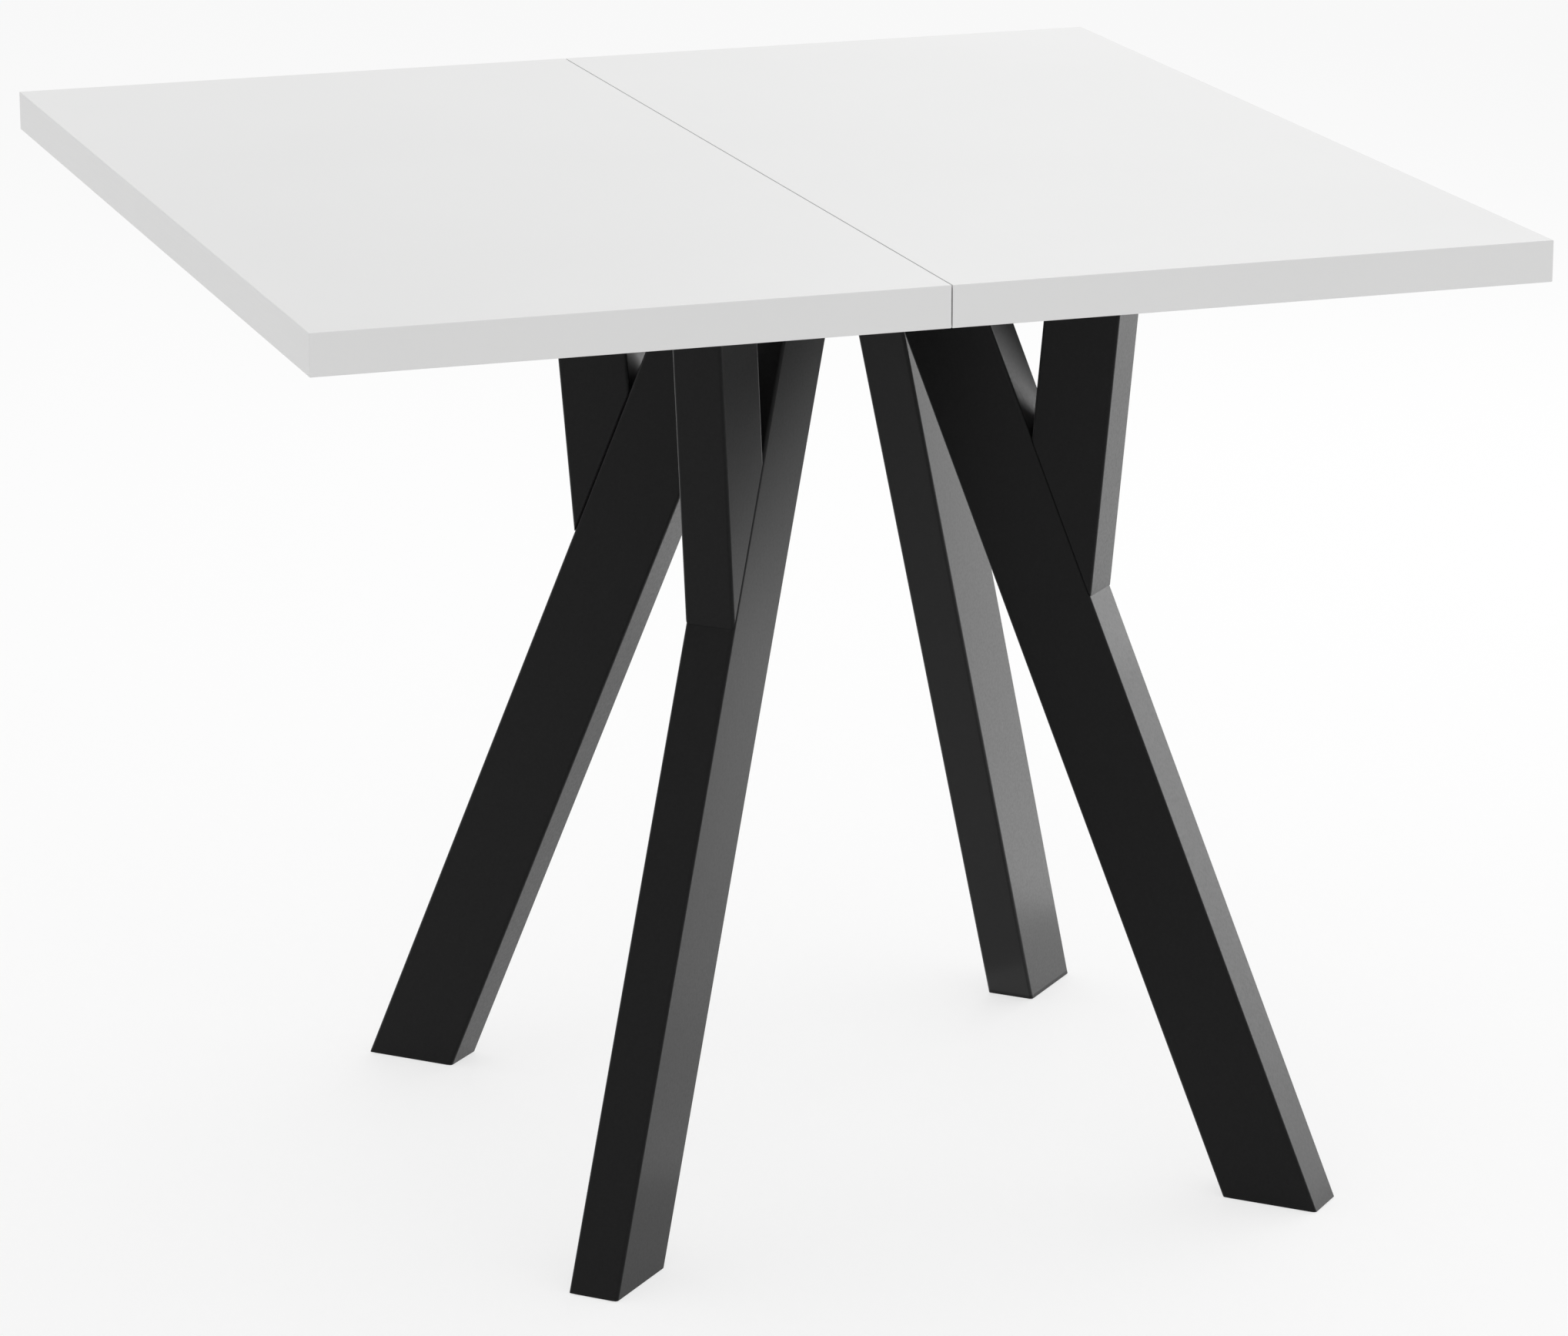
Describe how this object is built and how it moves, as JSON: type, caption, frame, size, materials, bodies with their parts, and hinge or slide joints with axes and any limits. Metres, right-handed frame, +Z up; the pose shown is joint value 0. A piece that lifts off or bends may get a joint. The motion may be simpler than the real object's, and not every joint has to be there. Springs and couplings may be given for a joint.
{
  "type": "folding console table",
  "caption": "Square table with a two-leaf top that folds like a book and turns a quarter turn into a narrow console, on splayed Y-shaped steel legs.",
  "frame": {"origin": "on the floor under the middle of the open top", "axes": "+X across the seam from the folding leaf to the turning leaf, +Y along the seam to the back, +Z up"},
  "size_m": [0.9, 0.9, 0.77],
  "materials": {
    "white_board": "white satin laminate on board",
    "white_edging": "white satin edge strip",
    "black_steel": "satin black powder coat",
    "black_plastic": "matte moulded",
    "grey_nylon": "matte moulded nylon",
    "bush_brass": "turned",
    "hinge_metal": "satin nickel",
    "zinc_steel": "bright zinc plate"
  },
  "bodies": {
    "base": {"main_leg_back_right": "black_steel", "main_leg_back_left": "black_steel", "main_leg_front_left": "black_steel", "main_leg_front_right": "black_steel", "leg_brace_back_right": "black_steel", "leg_brace_back_left": "black_steel", "leg_brace_front_left": "black_steel", "leg_brace_front_right": "black_steel", "foot_plug_back_right": "black_plastic", "foot_plug_back_left": "black_plastic", "foot_plug_front_left": "black_plastic", "foot_plug_front_right": "black_plastic", "leg_head_plate_back_right": "black_steel", "leg_head_plate_back_left": "black_steel", "leg_head_plate_front_left": "black_steel", "leg_head_plate_front_right": "black_steel", "rail_end_cap_back_right": "black_plastic", "rail_end_cap_back_left": "black_plastic", "rail_end_cap_front_left": "black_plastic", "rail_end_cap_front_right": "black_plastic", "glide_pad_back_right": "grey_nylon", "glide_pad_back_left": "grey_nylon", "glide_pad_front_left": "grey_nylon", "glide_pad_front_right": "grey_nylon", "frame_rail_long": "black_steel", "frame_rail_short_back_left": "black_steel", "frame_rail_short_front_right": "black_steel", "leg_bolts": "zinc_steel", "leg_bolt_washers": "zinc_steel", "rail_weld_nuts": "zinc_steel", "pivot_plate": "zinc_steel", "pivot_plate_screws": "zinc_steel", "pivot_bush": "bush_brass", "glide_washer": "grey_nylon"},
    "turning_leaf": {"turning_leaf_board": "white_board", "turning_leaf_edging": "white_edging", "swivel_plate": "zinc_steel", "swivel_plate_screws": "zinc_steel", "pivot_bolt": "zinc_steel", "pivot_lock_washer": "zinc_steel", "pivot_nut": "zinc_steel", "stop_pin": "zinc_steel", "hinge_screws_turning": "zinc_steel", "hinge_cup_turning_front": "hinge_metal", "hinge_cup_turning_middle": "hinge_metal", "hinge_cup_turning_back": "hinge_metal"},
    "folding_leaf": {"folding_leaf_board": "white_board", "folding_leaf_edging": "white_edging", "hinge_screws_folding": "zinc_steel", "hinge_cup_folding_front": "hinge_metal", "hinge_cup_folding_middle": "hinge_metal", "hinge_cup_folding_back": "hinge_metal"},
    "near_links": {"hinge_link_near_front": "hinge_metal", "hinge_link_near_middle": "hinge_metal", "hinge_link_near_back": "hinge_metal"},
    "far_links": {"hinge_link_far_front": "hinge_metal", "hinge_link_far_middle": "hinge_metal", "hinge_link_far_back": "hinge_metal"}
  },
  "joints": [
    {"name": "top_swivel", "type": "hinge", "parent": "base", "child": "turning_leaf", "pos_m": [0.151, 0.074, 0.739], "axis": [0, 0, -1], "range_deg": [0, 90]},
    {"name": "leaf_fold", "type": "hinge", "parent": "turning_leaf", "child": "folding_leaf", "pos_m": [0, 0, 0.77015], "axis": [0, 1, 0], "range_deg": [0, 180]},
    {"name": "near_link_turn", "type": "hinge", "parent": "turning_leaf", "child": "near_links", "pos_m": [0, 0, 0.77015], "axis": [0, 1, 0], "range_deg": [0, 60]},
    {"name": "far_link_turn", "type": "hinge", "parent": "turning_leaf", "child": "far_links", "pos_m": [0, 0, 0.77015], "axis": [0, 1, 0], "range_deg": [0, 120]}
  ],
  "couplings": [
    {"joint": "near_link_turn", "follows": "leaf_fold", "ratio": 0.33333},
    {"joint": "far_link_turn", "follows": "leaf_fold", "ratio": 0.66667}
  ]
}
